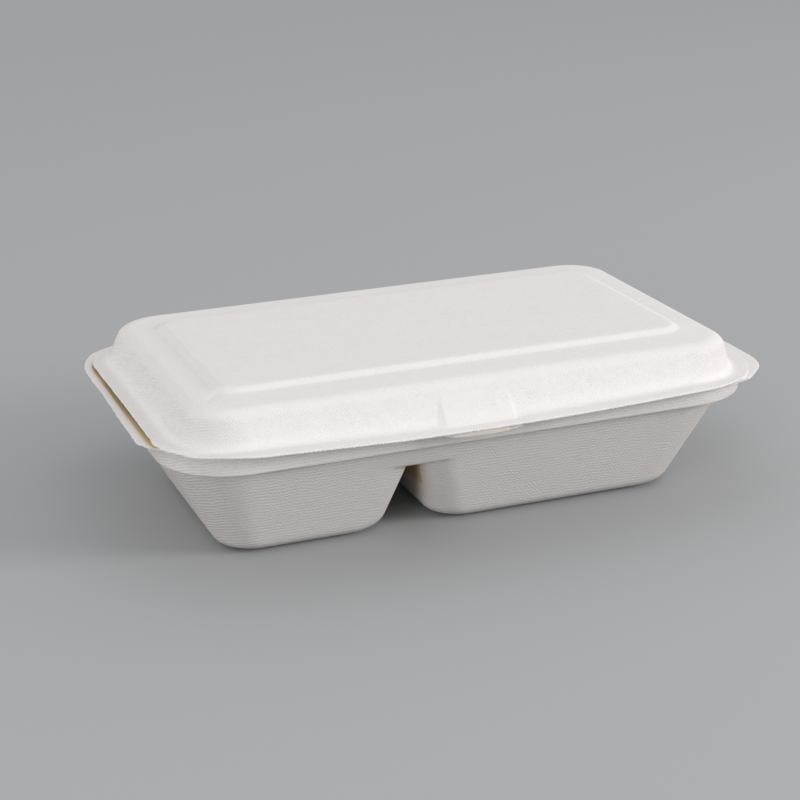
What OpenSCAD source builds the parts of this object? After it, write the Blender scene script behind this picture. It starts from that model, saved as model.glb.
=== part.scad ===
// Hinged take-away clamshell of moulded sugarcane pulp, with two compartments, shut.
// The origin is on the table under the middle of the box. X is the length, the lock
// faces -Y, the hinge crease runs along +Y, and Z is up.

/* [Overall] */
// Length over the tray's rim
rim_len = 250; // [230:1:280]
// Depth from the front of the rim to the hinge crease
rim_dep = 160; // [148:1:180]
// Height of the tray's rim above the table
rim_z = 48; // [43:0.5:60]
// Thickness of the pulp
wall_t = 0.8; // [0.6:0.1:1.1]
// Corner radius of the rim
rim_r = 36; // [32:1:44]
// How far the rim's sides swell past its corners
rim_bow = 2; // [0:0.5:3]
// Depth of the uneven, untrimmed edge of the rim
rim_rag = 0.4; // [0:0.1:0.8]

/* [Tray] */
// Width of the rim past the band at the two ends
band_in_x = 7.5; // [5:0.5:10]
// Width of the rim past the band at the front and back
band_in_y = 10; // [7:0.5:12]
// Height of the straight band under the rim
band_h = 7; // [5:0.5:9]
// Corner radius of the band
band_r = 29; // [26:0.5:31]
// Width of the small ledge under the band
ledge_w = 4; // [2:0.5:5]
// Lean of the outer walls from upright, in degrees
wall_lean = 26.5; // [18:0.5:28]
// Corner radius of the compartments at the floor
floor_corner_r = 13; // [11:0.5:16]
// Radius between the walls and the floor
floor_edge_r = 8.4; // [6:0.2:9]
// How much farther in the large compartment's end stands than the small one's
tray_right_in = 3.5; // [0:0.5:5]

/* [Divider] */
// Place of the divider's middle along X
divider_x = -21; // [-40:1:40]
// Height of the notch under the divider
divider_z = 31; // [20:1:33]
// Width of the notch at its roof
notch_top_w = 3; // [2:0.5:5]
// Width of the notch at the table
notch_foot_w = 19; // [14:0.5:24]
// Corner radius of the compartments beside the divider
divider_r = 12.5; // [10:0.5:16]

/* [Lid] */
// How much shorter the lid's rim is than the tray's at each end
lid_short = 5; // [3:0.5:6]
// Space between the two rims
rim_gap = 0.3; // [0.2:0.1:0.5]
// Height of the lid's shoulder above its rim
shoulder_h = 14; // [12:0.5:18]
// Width of the lid's rim at the two ends
lid_foot_x = 6; // [5:0.5:8]
// Width of the lid's rim at the front and back
lid_foot_y = 8; // [6:0.5:9]
// Lean of the lid's walls from upright, in degrees
lid_lean = 28.5; // [18:0.5:32]
// Corner radius of the lid's walls at the rim
lid_foot_r = 27; // [24:0.5:30]
// Radius of the lid's top edge
shoulder_r = 7; // [5:0.5:9]
// Corner radius of the lid's walls at the shoulder
shoulder_corner_r = 15; // [13:0.5:18]
// How much wider the lid's rim is at the right end
lid_right_in = 2.5; // [0:0.5:3.5]

/* [Panel] */
// Height of the raised panel over the shoulder
panel_h = 2.2; // [2:0.2:5]
// From the lid's rim to the panel's foot at the two ends
panel_in_x = 25.5; // [23:0.5:32]
// From the lid's rim to the panel's foot at the front and back
panel_in_y = 31.5; // [26:0.5:38]
// Width of the slope round the panel
panel_slope_w = 3; // [2:0.5:6]
// Corner radius of the panel
panel_r = 10; // [8:0.5:12]

/* [Lock] */
// Place of the lock's middle along X
lock_x = -4.5; // [-40:0.5:40]
// Width of the lock wedge's face
lock_face_w = 27; // [20:1:40]
// How far each flank of the wedge spreads at its foot
lock_splay = 4.5; // [2:0.5:7]
// How far the wedge stands out at its foot
lock_proud = 1.6; // [1:0.1:2.5]
// Height of the wedge above the lid's rim
lock_h = 9; // [7:0.5:9]
// Height of the tray's tongue above its rim
tongue_h = 6; // [4:0.5:7]
// How much narrower the tongue is than the wedge's face
tongue_play = 4; // [3:0.5:6]
// Drop of the tray's lip under the rim at the lock
lip_drop = 1.6; // [1:0.1:3]
// Width of the lip from front to back
lip_dep = 3; // [2:0.5:4]

/* [Hidden] */

// Steps in a quarter turn of a corner, in a rounded edge and across the panel's slope.
corner_steps = 10;
edge_steps = 6;
slope_steps = 4;
// Spacing of the points along the rim's uneven edge.
rag_step = 7;
// How far a hollow runs past the skin it opens through.
bite = 1;
// Share of the wedge's depth that is left at its top, so that it still parts from the wall.
lock_fade = 0.05;

ledge_z = rim_z - wall_t - band_h;
lid_z = rim_z + rim_gap;
lid_rim_top = lid_z + wall_t;
shoulder_z = lid_rim_top + shoulder_h;
// Both rims stop short of the crease, so they meet edge to edge when the lid lies open.
crease_play = rim_gap / 2;
front_y = -rim_dep / 2;

function half_x(inset) = rim_len / 2 - inset;
function half_y(inset) = rim_dep / 2 - inset;

// A level outline, a rounded rectangle with its own corner radius at each end.
function ring(x0, x1, half, r0, r1, z) = [
    for (corner = [[1, 1, 0], [-1, 1, 90], [-1, -1, 180], [1, -1, 270]])
        for (i = [0:corner_steps])
            let (
                a = corner[2] + 90 * i / corner_steps,
                r = corner[0] > 0 ? r1 : r0,
                x = corner[0] > 0 ? x1 - r : x0 + r
            )
            [x + r * cos(a), corner[1] * (half - r) + r * sin(a), z]
];

function even_ring(inset_x, inset_y, r, z) =
    ring(-half_x(inset_x), half_x(inset_x), half_y(inset_y), r, r, z);

// Closed solid through a list of rings, from the lowest to the highest.
module loft(rings) {
    n = len(rings[0]);
    last = len(rings) - 1;
    skin = [
        for (k = [0:last - 1])
            for (i = [0:n - 1])
                let (j = (i + 1) % n, a = k * n + i, b = k * n + j)
                each [[a, a + n, b], [b, a + n, b + n]]
    ];
    floor_cap = [for (i = [0:n - 1]) i];
    top_cap = [for (i = [n - 1:-1:0]) last * n + i];
    polyhedron(
        points = [for (r = rings) each r],
        faces = concat([floor_cap], skin, [top_cap]),
        convexity = 8
    );
}

// The rim's edge, with its sides swollen between the corners and its free edge uneven.
// The back edge is the crease and stays straight.
function edge_points(outline) = [
    for (i = [0:len(outline) - 1])
        let (
            a = outline[i],
            b = outline[(i + 1) % len(outline)],
            n = max(1, floor(norm(b - a) / rag_step))
        )
        for (k = [0:n - 1])
            a + (b - a) * k / n
];

function rag(i) = rim_rag * (0.5 + 0.25 * sin(i * 77) + 0.25 * sin(i * 131 + 40));

function swollen(p, i, half_len) =
    let (
        u = abs(p.x) / half_len,
        v = abs(p.y) / half_y(0),
        corner = pow(u * v, 2),
        out = p.y > half_y(0) - crease_play ? 0 : rag(i)
    )
    [
        p.x - sign(p.x) * (rim_bow / 2 * corner + out),
        p.y > 0 ? min(p.y, half_y(crease_play)) : p.y + rim_bow * corner + out
    ];

module rim(half_len, z) {
    edge = edge_points([for (p = ring(-half_len, half_len, half_y(0), rim_r, rim_r, z)) [p.x, p.y]]);
    translate([0, 0, z])
        linear_extrude(wall_t)
            polygon([for (i = [0:len(edge) - 1]) swollen(edge[i], i, half_len)]);
}

// Inset at height z of a leaning wall with a rounded edge at the floor. foot is where the
// wall's outside would meet the table, and deep is how far inside that outside the skin lies.
function wall_inset(foot, lean, deep, z) =
    let (
        r = floor_edge_r - deep,
        centre = foot - floor_edge_r * tan(lean) + floor_edge_r / cos(lean)
    )
    z >= floor_edge_r - r * sin(lean)
        ? foot - z * tan(lean) + deep / cos(lean)
        : centre - sqrt(max(0, r * r - pow(floor_edge_r - z, 2)));

notch_lean = atan((notch_foot_w - notch_top_w) / 2 / divider_z);
wall_foot_x = band_in_x + ledge_w + ledge_z * tan(wall_lean);
wall_foot_y = band_in_y + ledge_w + ledge_z * tan(wall_lean);

// The outer corners ease from the band's radius to the tighter one at the floor.
function wall_corner_r(z) = floor_corner_r + (band_r - ledge_w - floor_corner_r) * z / ledge_z;

// Heights of a compartment's rings, round the floor's edge and then up to its top.
function compartment_levels(deep, top) = concat(
    [
        for (i = [0:edge_steps])
            floor_edge_r - (floor_edge_r - deep) * sin(90 - (90 - notch_lean) * i / edge_steps)
    ],
    [top]
);

// One compartment. side is -1 for the small one at the left and 1 for the large one.
function compartment_ring(side, deep, z) =
    let (
        end = half_x(wall_inset(wall_foot_x, wall_lean, deep, z)),
        half = half_y(wall_inset(wall_foot_y, wall_lean, deep, z)),
        inner = divider_x + side * (notch_foot_w / 2 + wall_inset(0, notch_lean, deep, z)),
        end_r = wall_corner_r(z) - deep,
        inner_r = divider_r - deep
    )
    side < 0
        ? ring(-end, inner, half, end_r, inner_r, z)
        : ring(inner, end - tray_right_in, half, inner_r, end_r, z);

module compartment(side, deep) {
    loft([for (z = compartment_levels(deep, divider_z + deep)) compartment_ring(side, deep, z)]);
}

// The part that both compartments share, from the divider's roof up to the rim.
function collar_ring(deep, z) =
    let (
        end = half_x(wall_inset(wall_foot_x, wall_lean, deep, z)),
        half = half_y(wall_inset(wall_foot_y, wall_lean, deep, z)),
        r = wall_corner_r(z) - deep
    )
    ring(-end, end - tray_right_in, half, r, r, z);

module collar(deep, top) {
    loft([
        collar_ring(deep, divider_z + deep),
        collar_ring(deep, ledge_z + deep),
        even_ring(band_in_x + deep, band_in_y + deep, band_r - deep, ledge_z + deep),
        even_ring(band_in_x + deep, band_in_y + deep, band_r - deep, top)
    ]);
}

// Outside and inside of the lock's hollow wedge on the lid's front wall. deep is how far
// inside the wedge's outside the skin lies, and back is how far it reaches behind the wall.
function lid_front_y(z) = -half_y(lid_foot_y) + (z - lid_rim_top) * tan(lid_lean);

function lock_ring(deep, back, z) =
    let (
        u = max(lock_fade, 1 - (z - lid_rim_top) / lock_h),
        wall = lid_front_y(z) + deep / cos(lid_lean),
        w = lock_face_w / 2,
        foot = w + lock_splay * (u + back / lock_proud)
    )
    [
        [lock_x - foot, wall + back, z],
        [lock_x - w, wall - lock_proud * u, z],
        [lock_x + w, wall - lock_proud * u, z],
        [lock_x + foot, wall + back, z]
    ];

// The tray's tongue stands in the wedge, one rim gap behind its inside.
function tongue_ring(z) =
    let (
        front = lock_ring(wall_t, 0, z)[2].y + rim_gap,
        w = (lock_face_w - tongue_play) / 2 - wall_t
    )
    [
        [lock_x - w, front + wall_t, z],
        [lock_x - w, front, z],
        [lock_x + w, front, z],
        [lock_x + w, front + wall_t, z]
    ];

module tongue() {
    loft([for (z = [rim_z - wall_t, rim_z + tongue_h]) tongue_ring(z)]);
}

// The rounded lip that drops from the rim in front of the tongue.
module lip() {
    w = lock_face_w / 2 + lock_splay / 2;
    translate([lock_x, front_y + rim_rag + lip_dep, rim_z - wall_t])
        rotate([90, 0, 0])
            linear_extrude(lip_dep)
                polygon([
                    for (i = [-edge_steps:edge_steps])
                        [w * i / edge_steps, -lip_drop * (1 - pow(i / edge_steps, 4))]
                ]);
}

module tray() {
    color("ivory")
        difference() {
            union() {
                rim(half_x(0), rim_z - wall_t);
                collar(0, rim_z - wall_t);
                compartment(-1, 0);
                compartment(1, 0);
                lip();
                tongue();
            }
            collar(wall_t, rim_z + bite);
            compartment(-1, wall_t);
            compartment(1, wall_t);
        }
}

// Inset at height z of the lid's wall and of the rounded edge over it.
function lid_inset(foot, deep, z) =
    let (
        r = shoulder_r - deep,
        centre_z = shoulder_z - shoulder_r,
        centre = foot + (centre_z - lid_rim_top) * tan(lid_lean) + shoulder_r / cos(lid_lean)
    )
    z <= centre_z + r * sin(lid_lean)
        ? foot + (z - lid_rim_top) * tan(lid_lean) + deep / cos(lid_lean)
        : centre - sqrt(max(0, r * r - pow(z - centre_z, 2)));

function lid_corner_r(z) =
    lid_foot_r + (shoulder_corner_r - lid_foot_r) * (z - lid_rim_top) / shoulder_h;

// The right wall starts farther in and leans less, up to the same shoulder.
function lid_ring(deep, z) =
    let (
        end = half_x(lid_short + lid_inset(lid_foot_x, deep, z)),
        right = end - lid_right_in * (1 - (z - lid_rim_top) / shoulder_h),
        half = half_y(lid_inset(lid_foot_y, deep, z)),
        r = lid_corner_r(z) - deep
    )
    ring(-end, right, half, r, r, z);

// The panel's slope starts and ends level, as a drawn sheet does.
function panel_ring(deep, k) =
    let (inset = panel_slope_w * k + deep)
    even_ring(
        lid_short + panel_in_x + inset,
        panel_in_y + inset,
        panel_r - panel_slope_w * k - deep,
        shoulder_z - deep + panel_h * k * k * (3 - 2 * k)
    );

module lid_form(deep, bottom) {
    centre_z = shoulder_z - shoulder_r;
    loft(concat(
        [lid_ring(deep, bottom)],
        [
            for (i = [0:edge_steps])
                lid_ring(deep, centre_z + (shoulder_r - deep) * sin(lid_lean + (90 - lid_lean) * i / edge_steps))
        ],
        [for (i = [0:slope_steps]) panel_ring(deep, i / slope_steps)]
    ));
}

module lock_wedge(deep, back, bottom) {
    loft([for (z = [bottom, lid_rim_top + lock_h]) lock_ring(deep, back, z)]);
}

module lid() {
    color("ivory")
        difference() {
            union() {
                rim(half_x(lid_short), lid_z);
                lid_form(0, lid_z);
                lock_wedge(0, wall_t / 2, lid_z);
            }
            lid_form(wall_t, lid_z - bite);
            lock_wedge(wall_t, wall_t, lid_z - bite);
        }
}

tray();
lid();
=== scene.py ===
"""Take-away clamshell of moulded sugarcane pulp, shut: the tray, the crease behind it and the lid."""

import math
import bpy
import numpy as np
from mathutils import Matrix, Vector


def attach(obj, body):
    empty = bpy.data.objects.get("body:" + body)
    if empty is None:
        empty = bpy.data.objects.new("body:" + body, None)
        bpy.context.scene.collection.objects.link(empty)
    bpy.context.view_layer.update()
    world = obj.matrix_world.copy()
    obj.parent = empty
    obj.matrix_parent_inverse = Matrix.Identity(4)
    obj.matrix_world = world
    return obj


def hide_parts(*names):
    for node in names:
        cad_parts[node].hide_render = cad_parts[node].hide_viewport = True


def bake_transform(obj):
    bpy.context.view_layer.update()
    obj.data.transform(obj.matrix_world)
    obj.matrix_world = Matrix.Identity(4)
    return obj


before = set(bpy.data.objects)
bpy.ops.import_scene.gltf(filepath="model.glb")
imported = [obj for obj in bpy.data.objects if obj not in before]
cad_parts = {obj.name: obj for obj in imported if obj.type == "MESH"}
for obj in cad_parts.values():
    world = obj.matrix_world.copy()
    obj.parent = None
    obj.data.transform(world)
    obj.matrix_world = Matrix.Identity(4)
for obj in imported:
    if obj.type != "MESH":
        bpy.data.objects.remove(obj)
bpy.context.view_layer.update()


# TRAY
# The lower half of the box: rim, straight band, small ledge and two wells with a hollow
# divider between them. It is one sheet of sugarcane pulp, 0.8 mm thick, sucked on to a wire
# screen mould and pressed hot, so every bend is soft and the rim's edge is left uneven.

MM = 0.001
sheet_thick = 0.8

rim_half_x, rim_half_y, rim_top = 125, 80, 48
rim_corner, band_corner, ledge_corner = 36, 29, 25
band_in_x, band_in_y, ledge_wide = 7.5, 10, 4
ledge_height = rim_top - sheet_thick - 7
wall_lean, floor_bend, floor_corner = math.radians(26.5), 8.4, 13
right_in = 3.5
wall_foot_x = band_in_x + ledge_wide + ledge_height * math.tan(wall_lean)
wall_foot_y = band_in_y + ledge_wide + ledge_height * math.tan(wall_lean)
divider_x, divider_height, divider_corner = -21, 31, 12.5
# The divider leans more on its right, so each side has its own reach at the table and the roof.
divider_foot, divider_roof = {-1: 9.3, 1: 9.8}, {-1: 2.2, 1: 0.2}
divider_lean = {side: math.atan((divider_foot[side] - divider_roof[side]) / divider_height) for side in (-1, 1)}


class Sheet:
    """Points and faces of one sheet, laid up ring by ring, with a value or two at each point."""

    def __init__(self):
        self.points, self.faces, self.torn, self.count = [], [], [], 0

    def add(self, points, torn=0.0):
        points = np.asarray(points, float)
        self.points.append(points)
        self.torn.append(np.full(len(points), torn))
        self.count += len(points)
        return np.arange(self.count - len(points), self.count)

    def join(self, a, b, closed=True):
        """Faces between two rows of the same number of points."""
        if closed:
            a, b = np.append(a, a[0]), np.append(b, b[0])
        self.faces.extend(np.stack([a[:-1], a[1:], b[1:], b[:-1]], 1).tolist())

    def close(self, ring, centre):
        """A fan from the last ring of a skin to its middle."""
        middle = self.add([centre])[0]
        self.faces.extend([[a, b, middle] for a, b in zip(ring.tolist(), np.roll(ring, -1).tolist())])

    def make(self, name, points, painted_shade):
        mesh = bpy.data.meshes.new(name)
        mesh.from_pydata((points * MM).tolist(), [], self.faces)
        # The second attribute marks where shade is painted into the colour.
        for mark, values in (("torn", np.concatenate(self.torn)), ("painted_shade", painted_shade)):
            layer = mesh.attributes.new(mark, "FLOAT", "POINT")
            layer.data.foreach_set("value", values.astype(np.float32))
        piece = bpy.data.objects.new(name, mesh)
        bpy.context.scene.collection.objects.link(piece)
        bpy.context.view_layer.objects.active = piece
        bpy.ops.object.select_all(action="DESELECT")
        piece.select_set(True)
        bpy.ops.object.mode_set(mode="EDIT")
        bpy.ops.mesh.select_all(action="SELECT")
        bpy.ops.mesh.normals_make_consistent(inside=False)
        bpy.ops.object.mode_set(mode="OBJECT")
        bpy.ops.object.shade_smooth()
        return piece


def even(count):
    return np.arange(count) / count


def outline(x0, x1, half, r0, r1, sides, bends):
    """Rounded rectangle, anticlockwise from the foot of its right side. sides are the shares
    along the right, back, left and front, and bends the points in the corners between them."""
    corners = [(x1 - r1, half - r1, r1), (x0 + r0, half - r0, r0), (x0 + r0, r0 - half, r0), (x1 - r1, r1 - half, r1)]
    arcs = [
        np.stack([x + r * np.cos(turn), y + r * np.sin(turn)], 1)
        for k, (x, y, r) in enumerate(corners)
        for turn in [np.radians(90 * k + 90 * np.arange(bends[k] + 1) / bends[k])]
    ]
    parts = []
    for k in range(4):
        a, b = arcs[k - 1][-1], arcs[k][0]
        parts += [a + (b - a) * sides[k][:, None], arcs[k][:-1]]
    return np.concatenate(parts)


def eased(profile, steps=5, reach=1.6):
    """Rows along a profile of (inset x, inset y, height, corner radius, more inset at the right
    end, bend), where each node with a bend turns softly over that many millimetres beside it."""
    nodes = np.array(profile, float)
    rows = [nodes[0, :5]]
    for k in range(1, len(nodes)):
        node, bend = nodes[k, :5], nodes[k, 5]
        ahead = nodes[min(k + 1, len(nodes) - 1), :5]
        turn = [node]
        if bend > 0:
            back = node + (nodes[k - 1, :5] - node) * bend / np.hypot(*(nodes[k - 1, 1:3] - node[1:3]))
            on = node + (ahead - node) * bend / np.hypot(*(ahead[1:3] - node[1:3]))
            share = np.linspace(0, 1, steps + 1)[:, None]
            turn = list((1 - share) ** 2 * back + 2 * share * (1 - share) * node + share**2 * on)
        gap = np.hypot(*(turn[0][1:3] - rows[-1][1:3]))
        fill = max(1, int(round(gap / reach)))
        rows += [rows[-1] + (turn[0] - rows[-1]) * i / fill for i in range(1, fill)] + turn
    return np.array(rows)


def wall_inset(foot, lean, deep, z):
    """Inset at height z of a leaning wall whose foot bends into the floor."""
    bend = floor_bend - deep
    centre = foot - floor_bend * math.tan(lean) + floor_bend / math.cos(lean)
    if z >= floor_bend - bend * math.sin(lean):
        return foot - z * math.tan(lean) + deep / math.cos(lean)
    return centre - math.sqrt(max(0, bend * bend - (floor_bend - z) ** 2))


def wall_row(deep, z):
    return (
        wall_inset(wall_foot_x, wall_lean, deep, z),
        wall_inset(wall_foot_y, wall_lean, deep, z),
        z,
        floor_corner + (ledge_corner - floor_corner) * z / ledge_height - deep,
        right_in,
    )


def divider_face(side, deep, z):
    return divider_x + side * (divider_foot[side] + wall_inset(0, divider_lean[side], deep, z))


# Points along each stretch of the tray's rings. The stretch over the divider is shared by
# the front and the back, and the wells' rings carry on with the same points below it.
along_end, along_small, along_gap, along_large, round_corner, round_divider, along_divider = 76, 44, 26, 80, 46, 14, 40


def tray_ring(row, deep):
    inset_x, inset_y, z, r, right_inset = row
    top = wall_row(deep, divider_height + deep)
    reach = rim_half_x - top[0] - top[3]
    left = divider_face(-1, deep, divider_height + deep) - divider_corner + deep
    right = divider_face(1, deep, divider_height + deep) + divider_corner - deep
    stops = np.concatenate([
        -reach + (left + reach) * even(along_small),
        left + (right - left) * even(along_gap),
        right + (reach - right_in - right) * even(along_large),
    ])
    front = (stops + reach) / (2 * reach - right_in)
    back = np.append(0, 1 - front[:0:-1])
    sides = [even(along_end), back, even(along_end), front]
    half_x, half_y = rim_half_x - inset_x, rim_half_y - inset_y
    xy = outline(-half_x, half_x - right_inset, half_y, r, r, sides, [round_corner] * 4)
    return np.column_stack([xy, np.full(len(xy), z)])


def well_ring(side, deep, z):
    end_x, end_y, z, end_r, right_inset = wall_row(deep, z)
    inner = divider_face(side, deep, z)
    inner_r = divider_corner - deep
    half_x, half_y = rim_half_x - end_x, rim_half_y - end_y
    if side < 0:
        sides = [even(along_divider), even(along_small), even(along_end), even(along_small)]
        bends = [round_divider, round_corner, round_corner, round_divider]
        xy = outline(-half_x, inner, half_y, end_r, inner_r, sides, bends)
    else:
        sides = [even(along_end), even(along_large), even(along_divider), even(along_large)]
        bends = [round_corner, round_divider, round_divider, round_corner]
        xy = outline(inner, half_x - right_inset, half_y, inner_r, end_r, sides, bends)
    return np.column_stack([xy, np.full(len(xy), z)])


def unevenness(count, widths, seed):
    """Closed row of smooth random values, about -1 to 1, with bumps of the given widths."""
    draw = np.random.default_rng(seed)
    total = np.zeros(count)
    for width in widths:
        row = np.fft.rfft(draw.standard_normal(count))
        row *= np.exp(-((np.arange(len(row)) * width / count) ** 2) * 2)
        wave = np.fft.irfft(row, count)
        total += wave / np.abs(wave).max()
    return total / len(widths)


def ragged(ring, next_ring, cut, seed):
    """Pulls a rim's outer edge in by an uneven amount, least at the front right corner, but
    leaves the crease at the back straight."""
    way = next_ring[:, :2] - ring[:, :2]
    way /= np.linalg.norm(way, axis=1)[:, None] + 1e-9
    free = np.clip((rim_half_y - 1.5 - ring[:, 1]) / 3, 0, 1)
    bumps = 0.5 + 0.5 * unevenness(len(ring), (1.2, 3.0, 9.0), seed)
    nicks = np.clip(unevenness(len(ring), (2.0,), seed + 1) - 0.35, 0, 1)
    depth = cut * (bumps + 1.1 * nicks) * free
    depth *= 1 - 0.65 * np.clip((ring[:, 0] - 60) / 30, 0, 1) * np.clip(-ring[:, 1] / 30, 0, 1)
    return way * depth[:, None]


def tray_skin(sheet, deep, edge=None):
    """One side of the tray's sheet, from the middle of the rim's edge to the two floors. The
    second side starts from the edge of the first."""
    rim_z = rim_top if deep else rim_top - sheet_thick
    band_x, band_y = band_in_x + deep, band_in_y + deep
    ledge_z = ledge_height + deep
    ledge_in = wall_row(deep, ledge_z)
    split = wall_row(deep, divider_height + deep)
    rows = eased([
        (0, 0, rim_top - sheet_thick / 2, rim_corner, 0, 0),
        (0, 0, rim_z, rim_corner, 0, 0.35),
        (band_x, band_y, rim_z, band_corner - deep, 0, 2.2 if deep else 1.4),
        (band_x + 0.25, band_y + 0.25, ledge_z, band_corner - deep, 0, 0.7 if deep else 0.9),
        (*ledge_in, 1.6 if deep else 1.1),
        (*split, 0),
    ])
    rings = [tray_ring(row, deep) for row in rows]
    pull = ragged(rings[0], tray_ring((1, 1, 0, rim_corner, 0), deep), 1.5, 11)
    last = edge
    for row, ring in list(zip(rows, rings))[0 if edge is None else 1:]:
        ring[:, :2] += pull * np.clip(1 - row[0] / 2.5, 0, 1)
        ids = sheet.add(ring, np.clip(1 - row[0], 0, 1))
        if last is not None:
            sheet.join(last, ids)
        last = ids
    collar = last

    # Places in the collar's ring where the two wells' rings leave it.
    back_right = along_end + round_corner
    back_gap = back_right + along_large
    back_left = back_gap + along_gap
    front_left = back_left + along_small + 2 * round_corner + along_end
    front_gap = front_left + along_small
    front_right = front_gap + along_gap
    top = divider_height + deep
    heights = [top - d for d in (0.7, 1.5, 2.6, 4.2, 6.5, 9.5, 13, 17)]
    turns = np.linspace(math.radians(90) - min(divider_lean.values()), 0, 9)
    heights += [floor_bend - (floor_bend - deep) * math.cos(turn) for turn in turns]
    inner_rows = {}
    for side in (-1, 1):
        first = well_ring(side, deep, top)
        if side < 0:
            outer = np.arange(along_divider + round_divider, len(first) - round_divider + 1)
            joined = np.arange(back_left, front_gap + 1)
            inner = [*range(len(first) - round_divider, len(first)), *range(0, along_divider + round_divider + 1)]
        else:
            a = along_end + round_corner + along_large
            b = a + 2 * round_divider + along_divider
            outer = np.array([*range(b, len(first)), *range(0, a + 1)])
            joined = np.array([*range(front_right, len(collar)), *range(0, back_gap + 1)])
            inner = list(range(b, a - 1, -1))
        ids = np.full(len(first), -1)
        ids[outer] = collar[joined]
        fresh = np.flatnonzero(ids < 0)
        ids[fresh] = sheet.add(first[fresh])
        inner_rows[side] = ids[inner]
        for z in heights:
            ring = sheet.add(well_ring(side, deep, z))
            sheet.join(ids, ring)
            ids = ring
        floor = well_ring(side, deep, heights[-1])
        centre = np.append((floor[:, :2].min(0) + floor[:, :2].max(0)) / 2, floor[0, 2])
        for share in (0.9, 0.72, 0.48, 0.22):
            ring = sheet.add(centre + (floor - centre) * share)
            sheet.join(ids, ring)
            ids = ring
        sheet.close(ids, centre)

    # The divider's top, from the front of the collar to its back.
    points = np.concatenate(sheet.points)
    left, right = inner_rows[-1], inner_rows[1]
    across = even(along_gap)[1:, None]
    last = collar[front_gap:front_right + 1]
    for k in range(1, len(left)):
        if k == len(left) - 1:
            row = collar[back_gap:back_left + 1][::-1]
        else:
            between = points[left[k]] + (points[right[k]] - points[left[k]]) * across
            row = np.concatenate([[left[k]], sheet.add(between), [right[k]]])
        sheet.join(last, row, closed=False)
        last = row


def rounded(sheet, points, weight, passes):
    """Softens the points where weight is above 0, by moving each towards the mean of its neighbours."""
    edges = set()
    for face in sheet.faces:
        for a, b in zip(face, face[1:] + face[:1]):
            edges.add((min(a, b), max(a, b)))
    edges = np.array(sorted(edges))
    degree = np.bincount(edges.ravel(), minlength=len(points))[:, None]
    for _ in range(passes):
        mean = np.zeros_like(points)
        np.add.at(mean, edges[:, 0], points[edges[:, 1]])
        np.add.at(mean, edges[:, 1], points[edges[:, 0]])
        points = points + (mean / degree - points) * 0.6 * weight[:, None]
    return points


# How far the front of both rims has warped up or down, by place along X, in millimetres.
warp_x = [-125, -110, -95, -80, -60, -35, 0, 35, 60, 85, 100, 125]
warp_z = [0.9, 0.9, 1.2, 1.15, 0.6, -0.1, -0.3, 0.05, 0.55, 1.2, 0.8, 0.6]
# How far the rims' sides swell past their corners, and how far both stop short of the crease.
swell_x, swell_y, crease_play = 1.1, 2.6, 0.8


def settled(points, half_x, edge_share, right_swell):
    """The warp and swell that the rims took as they dried. edge_share is 1 at the rim's edge,
    and right_swell the share of the swell that the right half took."""
    x, y = points[:, 0], points[:, 1]
    u, v = np.clip(np.abs(x) / half_x, 0, 1), np.clip(np.abs(y) / rim_half_y, 0, 1)
    front = np.clip(0.5 - y / rim_half_y, 0, 1)
    crease = np.clip((rim_half_y - y) / 12, 0, 1)
    moved = points.copy()
    swell = (u * v) ** 2 * edge_share * np.where(x > 0, right_swell, 1)
    moved[:, 0] -= np.sign(x) * swell_x * swell
    moved[:, 1] += np.where(y < 0, swell_y, 0) * swell
    lift = np.interp(x, warp_x, warp_z) * front + 0.9 * u**2 * (1 - front)
    moved[:, 2] += lift * edge_share * crease
    moved[:, 1] = np.minimum(moved[:, 1], rim_half_y - crease_play)
    return moved


# The lip is the rim's thick, turned-down edge in front of the lock. Beside it and round both
# front corners the tray's rim stops a few millimetres short, so that the lid's edge hides it.
lip_x, lip_wide, lip_drop = -4.0, 17.5, 1.1
short_x, rim_short = (-112, -90, -60, -30, 40, 60, 85, 105), (2.4, 5.0, 3.8, 3.2, 2.6, 3.8, 5.0, 4.0)
drawn_turn, left_drawn, right_drawn = (0, 8, 22, 34, 60, 90), (0, 2.0, 5.6, 5.2, 4.6, 0), (0, 0, 0.2, 1.9, 2.6, 0)
# The tongue is a rounded tab that stands on the rim and leans in with the lid's wall.
tongue_x, tongue_half, tongue_high, tongue_y, tongue_lean = -4.5, 10.7, 6.0, -72.0, 0.58
# Inset from the tray rim's left end, in millimetres, at which the painted tan shade under the lid's edge reaches a
# half.
painted_shade_from = 3.9

tray_sheet = Sheet()
tray_skin(tray_sheet, 0)
outer_count = tray_sheet.count
rim_edge = np.arange(len(tray_sheet.points[0]))
tray_skin(tray_sheet, sheet_thick, rim_edge)

# Rings of the tongue: height above the rim, half length, half thickness.
tongue_turn = 2 * np.pi * even(96)
tongue_rings = [(-0.4, 2.2, 1.5), (0.0, 2.0, 1.3), (0.15, 1.2, 0.85), (0.5, 0.5, 0.55), (1.0, 0.1, 0.42)]
tongue_rings += [(high, 0.0, 0.4) for high in (1.8, 2.6, 3.4)]
tongue_rings += [
    (tongue_high - 2.2 + 2.2 * math.sin(turn), -2.2 * (1 - math.cos(turn)), 0.4 * math.cos(turn * 0.8))
    for turn in np.radians([10, 25, 40, 55, 70, 85])
]
last = None
for high, wider, half_thick in tongue_rings:
    cos, sin = np.cos(tongue_turn), np.sin(tongue_turn)
    ring = tray_sheet.add(np.column_stack([
        tongue_x + (tongue_half + wider) * np.sign(cos) * np.abs(cos) ** 0.5,
        tongue_y + max(high, 0) * tongue_lean + half_thick * np.sign(sin) * np.abs(sin) ** 0.7,
        np.full(len(cos), rim_top + high),
    ]), 0.25 if high > 3.5 else 0.0)
    if last is not None:
        tray_sheet.join(last, ring)
    last = ring
tray_sheet.close(last, (tongue_x, tongue_y + tongue_high * tongue_lean, rim_top + tongue_high))
tray_points = np.concatenate(tray_sheet.points)

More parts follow.
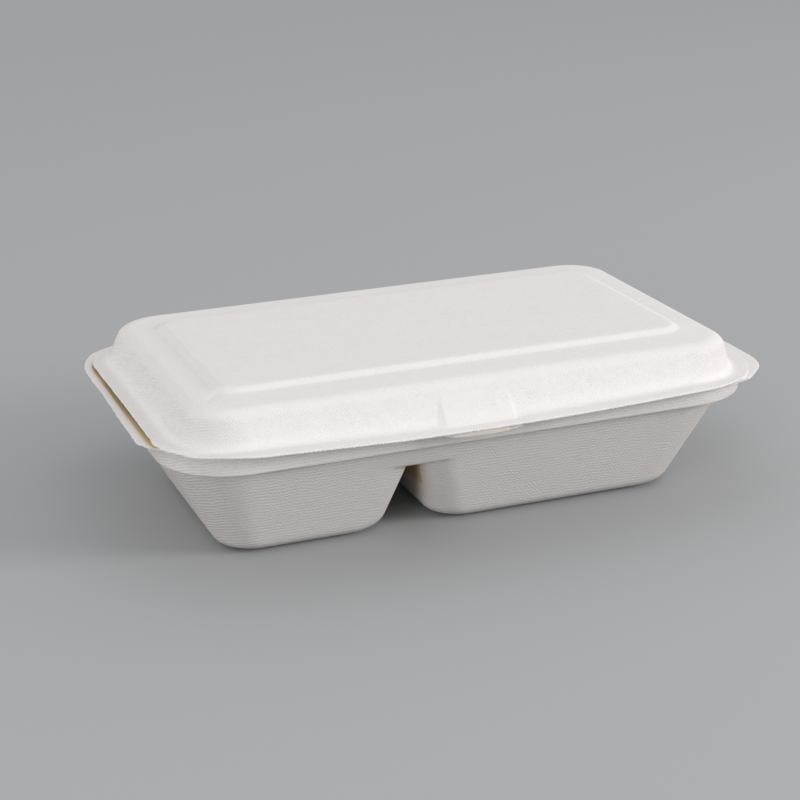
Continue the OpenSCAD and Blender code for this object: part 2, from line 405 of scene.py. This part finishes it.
near_divider = np.clip(1 - np.abs(tray_points[:, 2] - divider_height - 0.4) / 5, 0, 1)
near_divider *= np.clip(1.8 - np.abs(tray_points[:, 0] - divider_x) / 14, 0, 1)
tray_points = rounded(tray_sheet, tray_points, np.clip(near_divider * 1.6, 0, 1), 8)

on_rim = np.abs(tray_points[:, 2] - rim_top + sheet_thick / 2) < sheet_thick / 2 + 0.01
under = tray_points[:, 2] < rim_top - sheet_thick / 2 + 0.01
at_lip = np.clip(1 - ((tray_points[:, 0] - lip_x) / lip_wide) ** 4, 0, 1)
rim_depth = rim_half_y + tray_points[:, 1]
tray_points[:, 2] -= lip_drop * at_lip * np.clip((4.2 - rim_depth) / 1.4, 0, 1) * (on_rim & under)
short = np.interp(tray_points[:, 0], short_x, rim_short) * (1 - at_lip)
for side, drawn_in in ((-1, left_drawn), (1, right_drawn)):
    from_corner = tray_points[:, :2] - (side * (rim_half_x - rim_corner), rim_corner - rim_half_y)
    corner_far = np.hypot(*from_corner.T) + 1e-9
    corner_turn = np.degrees(np.arctan2(-from_corner[:, 1], side * from_corner[:, 0]))
    drawn = np.interp(corner_turn, drawn_turn, drawn_in)
    drawn *= np.clip(1 - (rim_corner - corner_far) / 8.5, 0, 1) * on_rim * (from_corner[:, 1] < 0)
    tray_points[:, :2] -= from_corner * (drawn / corner_far)[:, None]
tray_points[:, 1] += short * np.clip(1 - rim_depth / 8.5, 0, 1) * on_rim
end_short = 1.2 * np.clip((tray_points[:, 1] + 50) / 60, 0, 1) * np.clip((74 - tray_points[:, 1]) / 20, 0, 1)
end_depth = rim_half_x + tray_points[:, 0]
tray_points[:, 0] += end_short * np.clip(1 - end_depth / 8.5, 0, 1) * on_rim
edge_share = np.clip((tray_points[:, 2] - ledge_height) / 7, 0, 1)

# Painted shade: at its left end, where the lid's lifted edge leaves a narrow gap over it, the rim is painted a warm tan
# shade as far out as the lid reached, and the lip under the lid's edge is painted a faint tan shade. The mark's edge is
# where the value passes a half.
painted_shade = np.clip(0.5 + (end_depth - painted_shade_from) / 3, 0, 0.8) * on_rim * ~under
painted_shade -= 0.9 * np.clip((np.abs(tray_points[:, 1] + 1) - 44) / 14, 0, 1) ** 2
painted_shade = np.maximum(painted_shade, 0) * np.clip((14 - end_depth) / 2, 0, 1)
painted_shade = np.maximum(painted_shade, 0.36 * at_lip * np.clip((4.5 - rim_depth) / 2, 0, 1) * on_rim)

# Painted shade: the channel under the divider is painted a brown shade too, more towards its roof.
height, mouth_y = tray_points[:, 2], rim_half_y - wall_foot_y + tray_points[:, 2] * math.tan(wall_lean)
channel = np.clip((mouth_y - np.abs(tray_points[:, 1]) - 3) / 7, 0, 1) * np.clip((height - 3) / 14, 0, 1)
channel *= (np.abs(tray_points[:, 0] - divider_x) < 12) * (height < divider_height + 1) * (np.arange(len(height)) < outer_count)
painted_shade = np.maximum(painted_shade, 0.56 * channel)
tray_points = settled(tray_points, rim_half_x, edge_share, 0.35)


def new_group(name, inputs, outputs):
    """Empty node group with sockets given as (name, kind, value), and its two ends."""
    group = bpy.data.node_groups.new(name, "ShaderNodeTree")
    for socket_name, kind, value in inputs:
        socket = group.interface.new_socket(socket_name, in_out="INPUT", socket_type="NodeSocket" + kind)
        if value is not None:
            socket.default_value = value
    for socket_name, kind in outputs:
        group.interface.new_socket(socket_name, in_out="OUTPUT", socket_type="NodeSocket" + kind)
    return group, group.nodes.new("NodeGroupInput"), group.nodes.new("NodeGroupOutput")


class Wiring:
    """Short ways to add nodes to one tree and link them."""

    def __init__(self, tree):
        self.tree = tree

    def node(self, kind, settings=None, **sockets):
        made = self.tree.nodes.new(kind)
        for key, value in (settings or {}).items():
            setattr(made, key, value)
        for key, value in sockets.items():
            self.feed(made.inputs[key.replace("_", " ")], value)
        return made

    def feed(self, socket, value):
        if isinstance(value, bpy.types.NodeSocket):
            self.tree.links.new(value, socket)
        else:
            socket.default_value = value

    def math(self, operation, a, b=0.0, clamp=False):
        made = self.tree.nodes.new("ShaderNodeMath")
        made.operation, made.use_clamp = operation, clamp
        self.feed(made.inputs[0], a)
        self.feed(made.inputs[1], b)
        return made.outputs[0]

    def vector(self, operation, a, b):
        made = self.tree.nodes.new("ShaderNodeVectorMath")
        made.operation = operation
        self.feed(made.inputs[0], a)
        self.feed(made.inputs[1], b)
        return made.outputs[0]

    def spread(self, value, low, high, to_low=0.0, to_high=1.0):
        made = self.tree.nodes.new("ShaderNodeMapRange")
        made.interpolation_type = "SMOOTHSTEP"
        for key, number in zip(("Value", "From Min", "From Max", "To Min", "To Max"), (value, low, high, to_low, to_high)):
            self.feed(made.inputs[key], number)
        return made.outputs["Result"]

    def mix(self, share, a, b):
        made = self.tree.nodes.new("ShaderNodeMix")
        made.data_type = "RGBA"
        self.feed(made.inputs["Factor"], share)
        self.feed(made.inputs[6], a)
        self.feed(made.inputs[7], b)
        return made.outputs[2]


# The wire screen leaves its weave in the wet pulp: small diamonds, laid on each side of the
# box from the direction that side faces, and drawn out into wavy lines on the two ends.
screen_group, ends, out = new_group(
    "wire_screen_print",
    [("Place", "Vector", None), ("Facing", "Vector", None), ("Pitch", "Float", 1.6), ("Lined", "Float", 0.0)],
    [("Height", "Float")],
)
wire = Wiring(screen_group)
sway = wire.node("ShaderNodeTexNoise", Vector=ends.outputs["Place"], Scale=110.0, Detail=2.0, Roughness=0.5)
swayed = wire.vector("ADD", ends.outputs["Place"], wire.vector("MULTIPLY", sway.outputs["Color"], (0.0022,) * 3))
turns = wire.vector("MULTIPLY", swayed, (1000 * 2 * math.pi,) * 3)
place = wire.node("ShaderNodeSeparateXYZ", Vector=turns)
facing = wire.node("ShaderNodeSeparateXYZ", Vector=wire.vector("ABSOLUTE", ends.outputs["Facing"], (0, 0, 0)))
x, y, z = [wire.math("DIVIDE", place.outputs[k], ends.outputs["Pitch"]) for k in range(3)]


def weave(a, b):
    return wire.math("MULTIPLY", wire.math("SINE", a), wire.math("SINE", b))


shares = [wire.math("POWER", facing.outputs[k], 3.0) for k in range(3)]
total = wire.math("ADD", wire.math("ADD", shares[0], shares[1]), shares[2])
drift = wire.math("ADD", z, wire.math("MULTIPLY", y, 0.3))
lines = wire.math("MULTIPLY", wire.math("SINE", wire.math("MULTIPLY", drift, 1.25)), 0.8)
lined = ends.outputs["Lined"]
woven = wire.math("SUBTRACT", 1.0, lined)
parts = [
    wire.math("MULTIPLY", shares[0], wire.math("MULTIPLY", lines, 1.5)),
    wire.math("MULTIPLY", shares[1], wire.math("ADD", wire.math("MULTIPLY", lines, lined), wire.math("MULTIPLY", weave(x, z), woven))),
    wire.math("MULTIPLY", shares[2], wire.math("MULTIPLY", weave(x, y), 0.6)),
]
height = wire.math("DIVIDE", wire.math("ADD", wire.math("ADD", parts[0], parts[1]), parts[2]), total)
wire.feed(out.inputs["Height"], height)

# Loose fibres lie in the surface in every direction, and a few coarse ones stay brown.
fibre_group, ends, out = new_group(
    "pulp_fibres",
    [("Place", "Vector", None), ("Length", "Float", 1.0)],
    [("Relief", "Float"), ("Clouds", "Float"), ("Flecks", "Float")],
)
wire = Wiring(fibre_group)
strands = []
for number, (turn, squash) in enumerate([((0.3, 0.2, 0.9), 9), ((1.2, 0.8, -0.5), 11), ((-0.7, 1.4, 0.4), 8), ((2.2, -0.3, 1.9), 10)]):
    laid = wire.node("ShaderNodeMapping", {"vector_type": "TEXTURE"}, Vector=ends.outputs["Place"], Rotation=turn)
    laid.inputs["Scale"].default_value = (squash, 1, 1)
    laid.inputs["Location"].default_value = (0.37 * number, 0.11, 0.23)
    noise = wire.node("ShaderNodeTexNoise", Vector=laid.outputs[0], Scale=2600.0, Detail=1.0, Roughness=0.5, Distortion=0.6)
    strands.append(wire.spread(noise.outputs["Fac"], 0.56, 0.74))
relief = wire.math("MAXIMUM", wire.math("MAXIMUM", strands[0], strands[1]), wire.math("MAXIMUM", strands[2], strands[3]))
wire.feed(out.inputs["Relief"], relief)
clouds = wire.node("ShaderNodeTexNoise", Vector=ends.outputs["Place"], Scale=130.0, Detail=5.0, Roughness=0.62)
wire.feed(out.inputs["Clouds"], clouds.outputs["Fac"])
laid = wire.node("ShaderNodeMapping", {"vector_type": "TEXTURE"}, Vector=ends.outputs["Place"], Rotation=(0.5, 1.1, 0.4))
laid.inputs["Scale"].default_value = (4, 1, 1)
fleck = wire.node("ShaderNodeTexNoise", Vector=laid.outputs[0], Scale=900.0, Detail=2.0, Roughness=0.5)
wire.feed(out.inputs["Flecks"], wire.spread(fleck.outputs["Fac"], 0.73, 0.8))


def pulp_material(name, colour, dull, print_depth, pitch, lined):
    """Matt pressed pulp. colour is its face and dull what shows in its thinner clouds."""
    material = bpy.data.materials.new(name)
    material.use_nodes = True
    tree = material.node_tree
    tree.nodes.clear()
    wire = Wiring(tree)
    where = wire.node("ShaderNodeTexCoord")
    place, facing = where.outputs["Object"], where.outputs["Normal"]
    torn = wire.node("ShaderNodeAttribute", {"attribute_name": "torn"}).outputs["Fac"]
    # This attribute marks painted shade.
    painted_shade = wire.node("ShaderNodeAttribute", {"attribute_name": "painted_shade"}).outputs["Fac"]
    screen = wire.node("ShaderNodeGroup", {"node_tree": screen_group}, Place=place, Facing=facing, Pitch=pitch, Lined=lined)
    fibres = wire.node("ShaderNodeGroup", {"node_tree": fibre_group}, Place=place)
    patches = wire.node("ShaderNodeTexNoise", Vector=place, Scale=45.0, Detail=3.0, Roughness=0.55)
    worn = wire.node("ShaderNodeTexNoise", Vector=place, Scale=420.0, Detail=2.0, Roughness=0.6)
    kept = wire.math(
        "MULTIPLY",
        wire.spread(patches.outputs["Fac"], 0.30, 0.60, 0.65, 1.0),
        wire.spread(worn.outputs["Fac"], 0.30, 0.62, 0.35, 1.0),
    )

    tint = wire.mix(wire.spread(fibres.outputs["Clouds"], 0.35, 0.75, 0.0, 0.30), colour, dull)
    tint = wire.mix(wire.math("MULTIPLY", fibres.outputs["Relief"], 0.12), tint, (0.90, 0.89, 0.88, 1))
    tint = wire.mix(wire.math("MULTIPLY", fibres.outputs["Flecks"], 0.14), tint, (0.50, 0.40, 0.28, 1))
    # Painted shade: the marked places get a warm tan shade, and a brown shade where the mark is strongest; the torn
    # edge's whitening, its fuzz and the screen print are left out under the mark.
    clear_of_painted_shade = wire.spread(painted_shade, 0.0, 0.15, 1.0, 0.0)
    tint = wire.mix(wire.math("MULTIPLY", wire.math("MULTIPLY", torn, clear_of_painted_shade), 0.5), tint, (0.86, 0.845, 0.835, 1))
    tint = wire.mix(wire.spread(painted_shade, 0.0, 0.4, 0.0, 0.45), tint, (0.56, 0.48, 0.39, 1))
    painted_shade_depth = wire.math("ADD", painted_shade, wire.math("MULTIPLY", wire.math("SUBTRACT", worn.outputs["Fac"], 0.5), 0.2))
    painted_shade_brown = wire.mix(wire.spread(patches.outputs["Fac"], 0.35, 0.65), (0.60, 0.44, 0.26, 1), (0.48, 0.34, 0.18, 1))
    tint = wire.mix(wire.spread(painted_shade_depth, 0.43, 0.56), tint, painted_shade_brown)
    rough = wire.spread(fibres.outputs["Clouds"], 0.3, 0.7, 0.78, 0.92)

    printed = wire.math("MULTIPLY", wire.math("MULTIPLY", screen.outputs["Height"], kept), print_depth)
    printed = wire.math("MULTIPLY", printed, clear_of_painted_shade)
    loose = wire.math("MULTIPLY", fibres.outputs["Relief"], 0.08)
    lumps = wire.math("MULTIPLY", fibres.outputs["Clouds"], 0.30)
    fuzz = wire.node("ShaderNodeTexNoise", Vector=place, Scale=1500.0, Detail=3.0, Roughness=0.7)
    shredded = wire.math("MULTIPLY", wire.math("MULTIPLY", fuzz.outputs["Fac"], torn), wire.math("MULTIPLY", clear_of_painted_shade, 0.5))
    height = wire.math("ADD", wire.math("ADD", printed, loose), wire.math("ADD", lumps, shredded))
    bump = wire.node("ShaderNodeBump", Height=height, Strength=1.0, Distance=0.0003)
    shader = wire.node("ShaderNodeBsdfPrincipled", Base_Color=tint, Roughness=rough, Normal=bump.outputs["Normal"])
    shader.inputs["Specular IOR Level"].default_value = 0.25
    finish = wire.node("ShaderNodeOutputMaterial", Surface=shader.outputs[0])
    finish.location = (400, 0)
    return material


tray = tray_sheet.make("tray_pulp", tray_points, painted_shade)
tray.data.materials.append(pulp_material("tray_pulp", (0.785, 0.752, 0.738, 1), (0.735, 0.695, 0.672, 1), 0.30, 1.5, 0.55))
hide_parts("tray")
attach(tray, "tray")


# LID
# The upper half of the same sheet: a narrow rim, walls that lean in, a broad rounded shoulder
# and a raised panel. A hollow wedge on its front wall takes the tray's tongue, and its left
# end has lifted a little off the tray.

lid_short = 5
lid_half_x = rim_half_x - lid_short
lid_bottom = rim_top + 0.3
lid_rim_top = lid_bottom + sheet_thick
shoulder_height = lid_rim_top + 14
lid_foot_x, lid_foot_y, lid_lean = 6, 8, math.radians(28.5)
lid_foot_corner, shoulder_corner, shoulder_bend = 27, 15, 7
panel_in_x, panel_in_y, panel_slope, panel_rise, panel_corner = 24.8, 30.8, 4.4, 1.7, 10.7
# The ledge round the panel slopes up to it by this much.
panel_foot_rise = 0.5

front_stops = np.concatenate([0.356 * even(56), 0.356 + 0.23 * even(84), 0.586 + 0.414 * even(64)])
lid_sides = [even(80), even(130), even(80), front_stops]


def lid_ring(row):
    inset_x, inset_y, z, r, right_inset = row
    right = lid_half_x - inset_x - right_inset
    xy = outline(inset_x - lid_half_x, right, rim_half_y - inset_y, r, r, lid_sides, [48] * 4)
    return np.column_stack([xy, np.full(len(xy), z)])


def lid_row(deep, z):
    """Inset and corner radius of the lid's wall, and of the bend over it, at height z."""
    bend, centre_z = shoulder_bend - deep, shoulder_height - shoulder_bend
    if z <= centre_z + bend * math.sin(lid_lean) + 1e-9:
        inwards = (z - lid_rim_top) * math.tan(lid_lean) + deep / math.cos(lid_lean)
    else:
        centre = (centre_z - lid_rim_top) * math.tan(lid_lean) + shoulder_bend / math.cos(lid_lean)
        inwards = centre - math.sqrt(max(0, bend * bend - (z - centre_z) ** 2))
    r = lid_foot_corner + (shoulder_corner - lid_foot_corner) * (z - lid_rim_top) / 14 - deep
    return (lid_foot_x + inwards, lid_foot_y + inwards, z, r, 2.5 * (1 - (z - lid_rim_top) / 14))


# The wedge's face runs between these places along X. Its flanks spread at the foot and its
# depth fades to nothing at the top.
wedge_left, wedge_right, wedge_high, wedge_proud = -17.0, 9.2, 9.8, 2.3
left_splay, right_splay = 3.4, 2.6


def wedge_depth(ring, row):
    inset_y, z = row[1], row[2]
    u = np.clip(1 - (z - lid_rim_top) / wedge_high, 0.0, 1)
    held = np.clip((inset_y - 3.2) / (lid_foot_y - 3.2), 0, 1)
    held = held * held * (3 - 2 * held)
    left = np.clip((ring[:, 0] - wedge_left) / (left_splay * u + 0.15) + 1, 0, 1)
    right = np.clip((wedge_right - ring[:, 0]) / (right_splay * u + 0.15) + 1, 0, 1)
    return wedge_proud * u * held * np.minimum(left, right) * (ring[:, 1] < 0)


def lid_skin(sheet, deep, edge=None):
    """One side of the lid's sheet, from the middle of the rim's edge to the middle of the panel."""
    rim_z = lid_bottom if deep else lid_rim_top
    bend, centre_z = shoulder_bend - deep, shoulder_height - shoulder_bend
    rows = list(eased([
        (0, 0, lid_bottom + sheet_thick / 2, rim_corner, 0, 0),
        (0, 0, rim_z, rim_corner, 0, 0.35),
        (*lid_row(deep, rim_z), 1.8 if deep else 3.2),
        (*lid_row(deep, centre_z + bend * math.sin(lid_lean)), 0),
    ], reach=1.0))
    for turn in np.linspace(lid_lean, math.pi / 2, 10)[1:]:
        rows.append(lid_row(deep, centre_z + bend * math.sin(turn)))
    start, foot = np.array(rows[-1]), np.array([
        panel_in_x + deep, panel_in_y + deep, shoulder_height + panel_foot_rise - deep, panel_corner - deep, 0,
    ])
    rows += [start + (foot - start) * share for share in (0.25, 0.5, 0.75)]
    for share in np.linspace(0, 1, 10):
        rise = panel_rise * share**2 * (3 - 2 * share)
        rows.append(foot + np.array([1, 1, 0, -1, 0]) * panel_slope * share + np.array([0, 0, rise, 0, 0]))
    pull = ragged(lid_ring(rows[0]), lid_ring((1, 1, 0, rim_corner, 0)), 0.6, 23)
    last = edge
    for row in rows[0 if edge is None else 1:]:
        ring = lid_ring(row)
        ring[:, :2] += pull * np.clip(1 - row[0] / 2.5, 0, 1)
        ring[:, 1] -= wedge_depth(ring, row)
        ids = sheet.add(ring, np.clip(1 - row[0], 0, 1))
        if last is not None:
            sheet.join(last, ids)
        last = ids
    panel = lid_ring(rows[-1])
    centre = np.array([0, 0, rows[-1][2]])
    for share in (0.94, 0.84, 0.66, 0.42, 0.18):
        ids = sheet.add(centre + (panel - centre) * share)
        sheet.join(last, ids)
        last = ids
    sheet.close(last, centre)


lid_sheet = Sheet()
lid_skin(lid_sheet, 0)
lid_edge = np.arange(len(lid_sheet.points[0]))
lid_skin(lid_sheet, sheet_thick, lid_edge)
lid_points = np.concatenate(lid_sheet.points)

edge_share = np.clip(1 - (lid_points[:, 2] - lid_rim_top) / 9, 0, 1)
outwards = np.minimum(lid_half_x - np.abs(lid_points[:, 0]), rim_half_y - np.abs(lid_points[:, 1]))
edge_share *= np.clip(1.35 - outwards / 14, 0, 1)
lid_points = settled(lid_points, lid_half_x, edge_share, 1)
near_rim = np.clip(1 - (lid_points[:, 2] - lid_bottom) / 9, 0, 1)
left_lift = np.clip((-lid_points[:, 0] - 100) / 16, 0, 1) * (1 - np.clip(np.abs(lid_points[:, 1]) / 56, 0, 1) ** 2)
lid_points[:, 2] += (1.3 * left_lift - 0.2 * np.clip((lid_points[:, 0] - 96) / 10, 0, 1)) * near_rim

# The rim's front left corner has spread outwards and hangs a little lower.
from_corner = lid_points[:, :2] - (rim_corner - lid_half_x, rim_corner - rim_half_y)
corner_turn = np.degrees(np.arctan2(-from_corner[:, 1], -from_corner[:, 0]))
spread = np.interp(corner_turn, (0, 10, 20, 30, 45), (0, 0.8, 1.0, 0.6, 0)) * (from_corner[:, 1] < 0)
spread *= np.clip(1 - (rim_corner - np.hypot(*from_corner.T)) / 5, 0, 1) * near_rim
lid_points[:, :2] += from_corner / rim_corner * 1.4 * spread[:, None]
lid_points[:, 2] -= 0.7 * spread

# The front edge of the rim is turned down a little, and the left shoulder has a small dent.
dent_x, dent_y, dent_wide, dent_deep = -96.5, -47.5, 2.0, 0.6
dent_far = np.hypot(lid_points[:, 0] - dent_x, lid_points[:, 1] - dent_y) / dent_wide
lid_points[:, 2] -= dent_deep * np.exp(-dent_far**2) * (lid_points[:, 2] > lid_rim_top + 4)
below = np.abs(lid_points[:, 2] - lid_bottom) < 2.2
droop = 0.25 * np.clip((-lid_points[:, 1] - 76.5) / 3, 0, 1) * below
lid_points[:, 2] -= droop
lid = lid_sheet.make("lid_pulp", lid_points, np.zeros(len(lid_points)))
lid.data.materials.append(pulp_material("lid_pulp", (0.800, 0.768, 0.758, 1), (0.755, 0.720, 0.706, 1), 0.38, 1.4, 0.1))
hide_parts("lid")
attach(lid, "lid")


# CREASE
# The hinge is the same sheet, pressed thin in a straight line along the back of both rims,
# and folded over when the box is shut.

crease_half, crease_thick, crease_turn = 84, 0.5, 0.55
crease_sheet = Sheet()
middle_y, middle_z = rim_half_y - crease_play, (rim_top + lid_bottom) / 2
fold = [(middle_y - 0.5, middle_z - crease_turn)]
fold += [
    (middle_y + crease_turn * math.cos(turn), middle_z + crease_turn * math.sin(turn))
    for turn in np.radians(np.linspace(-90, 90, 13))
]
fold += [(middle_y - 0.5, middle_z + crease_turn)]
fold = np.array(fold)
across = np.gradient(fold, axis=0)
across = np.stack([across[:, 1], -across[:, 0]], 1) / np.linalg.norm(across, axis=1)[:, None]
loop = np.concatenate([fold + across * crease_thick / 2, (fold - across * crease_thick / 2)[::-1]])
last = None
for x in np.linspace(-crease_half, crease_half, 141):
    row = crease_sheet.add(np.column_stack([np.full(len(loop), x), loop]), 0.4)
    if last is not None:
        crease_sheet.join(last, row)
    last = row
crease_sheet.faces.append(list(range(len(loop))))
crease_sheet.faces.append(last.tolist()[::-1])
crease = crease_sheet.make("crease_pulp", np.concatenate(crease_sheet.points), np.zeros(crease_sheet.count))
crease.data.materials.append(tray.data.materials[0])
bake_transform(crease)


# TABLE, LIGHT AND CAMERA
# A plain pale table that runs out of sight, soft lamps of a photographer's tent with the
# brighter one at the front right, and the camera low at the front left corner.

bpy.ops.mesh.primitive_plane_add(size=6, location=(0, 0, -0.0002))
table = bpy.context.object
table.name = "table"
table_finish = bpy.data.materials.new("table_paper")
table_finish.use_nodes = True
table_shader = table_finish.node_tree.nodes["Principled BSDF"]
table_nodes = table_finish.node_tree.nodes
seen = table_nodes.new("ShaderNodeLightPath")
direct = table_nodes.new("ShaderNodeMath")
mirrored = table_nodes.new("ShaderNodeMath")
direct.operation = mirrored.operation = "MAXIMUM"
paper = table_nodes.new("ShaderNodeMix")
paper.data_type = "RGBA"
paper.inputs[6].default_value, paper.inputs[7].default_value = (0.08, 0.08, 0.08, 1), (0.42, 0.425, 0.43, 1)
table_links = table_finish.node_tree.links
table_links.new(seen.outputs["Is Glossy Ray"], mirrored.inputs[0])
table_links.new(seen.outputs["Is Transmission Ray"], mirrored.inputs[1])
table_links.new(seen.outputs["Is Camera Ray"], direct.inputs[0])
table_links.new(mirrored.outputs[0], direct.inputs[1])
table_links.new(direct.outputs[0], paper.inputs["Factor"])
table_links.new(paper.outputs[2], table_shader.inputs["Base Color"])
table_shader.inputs["Roughness"].default_value = 0.9
table_shader.inputs["Specular IOR Level"].default_value = 0.1
table.data.materials.append(table_finish)

scene = bpy.context.scene
world = bpy.data.worlds.new("tent")
world.use_nodes = True
world.node_tree.nodes["Background"].inputs["Color"].default_value = (0.985, 0.992, 1.0, 1)
world.node_tree.nodes["Background"].inputs["Strength"].default_value = 0.77
scene.world = world


def lamp(name, place, target, size, power, colour):
    light = bpy.data.lights.new(name, "AREA")
    light.shape, light.size, light.energy, light.color = "DISK", size, power, colour
    holder = bpy.data.objects.new(name, light)
    scene.collection.objects.link(holder)
    holder.location = place
    holder.rotation_euler = (Vector(target) - Vector(place)).to_track_quat("-Z", "Y").to_euler()


lamp("key", (1.31, -0.92, 0.53), (0, 0, 0.04), 0.6, 14.5, (1.0, 0.985, 0.975))
lamp("fill", (-1.31, -0.92, 0.25), (0, 0, 0.04), 0.6, 7, (1.0, 0.99, 0.985))

view_turn, view_rise, view_roll = math.radians(-20.48), math.radians(19.20), math.radians(-1.27)
view_far, view_right, view_up = 0.79712, -0.00757, 0.03151
backwards = Vector((
    math.sin(view_turn) * math.cos(view_rise),
    -math.cos(view_turn) * math.cos(view_rise),
    math.sin(view_rise),
))
level = Vector((math.cos(view_turn), math.sin(view_turn), 0))
upright = backwards.cross(level)
to_right = math.cos(view_roll) * level + math.sin(view_roll) * upright
to_top = math.cos(view_roll) * upright - math.sin(view_roll) * level
camera = bpy.data.objects.new("camera", bpy.data.cameras.new("camera"))
scene.collection.objects.link(camera)
camera.data.sensor_width = 36
camera.data.lens = 88.72
placed = Matrix((to_right, to_top, backwards)).transposed().to_4x4()
placed.translation = to_right * view_right + to_top * view_up + backwards * view_far
camera.matrix_world = placed
scene.camera = camera
scene.view_settings.view_transform = "Standard"
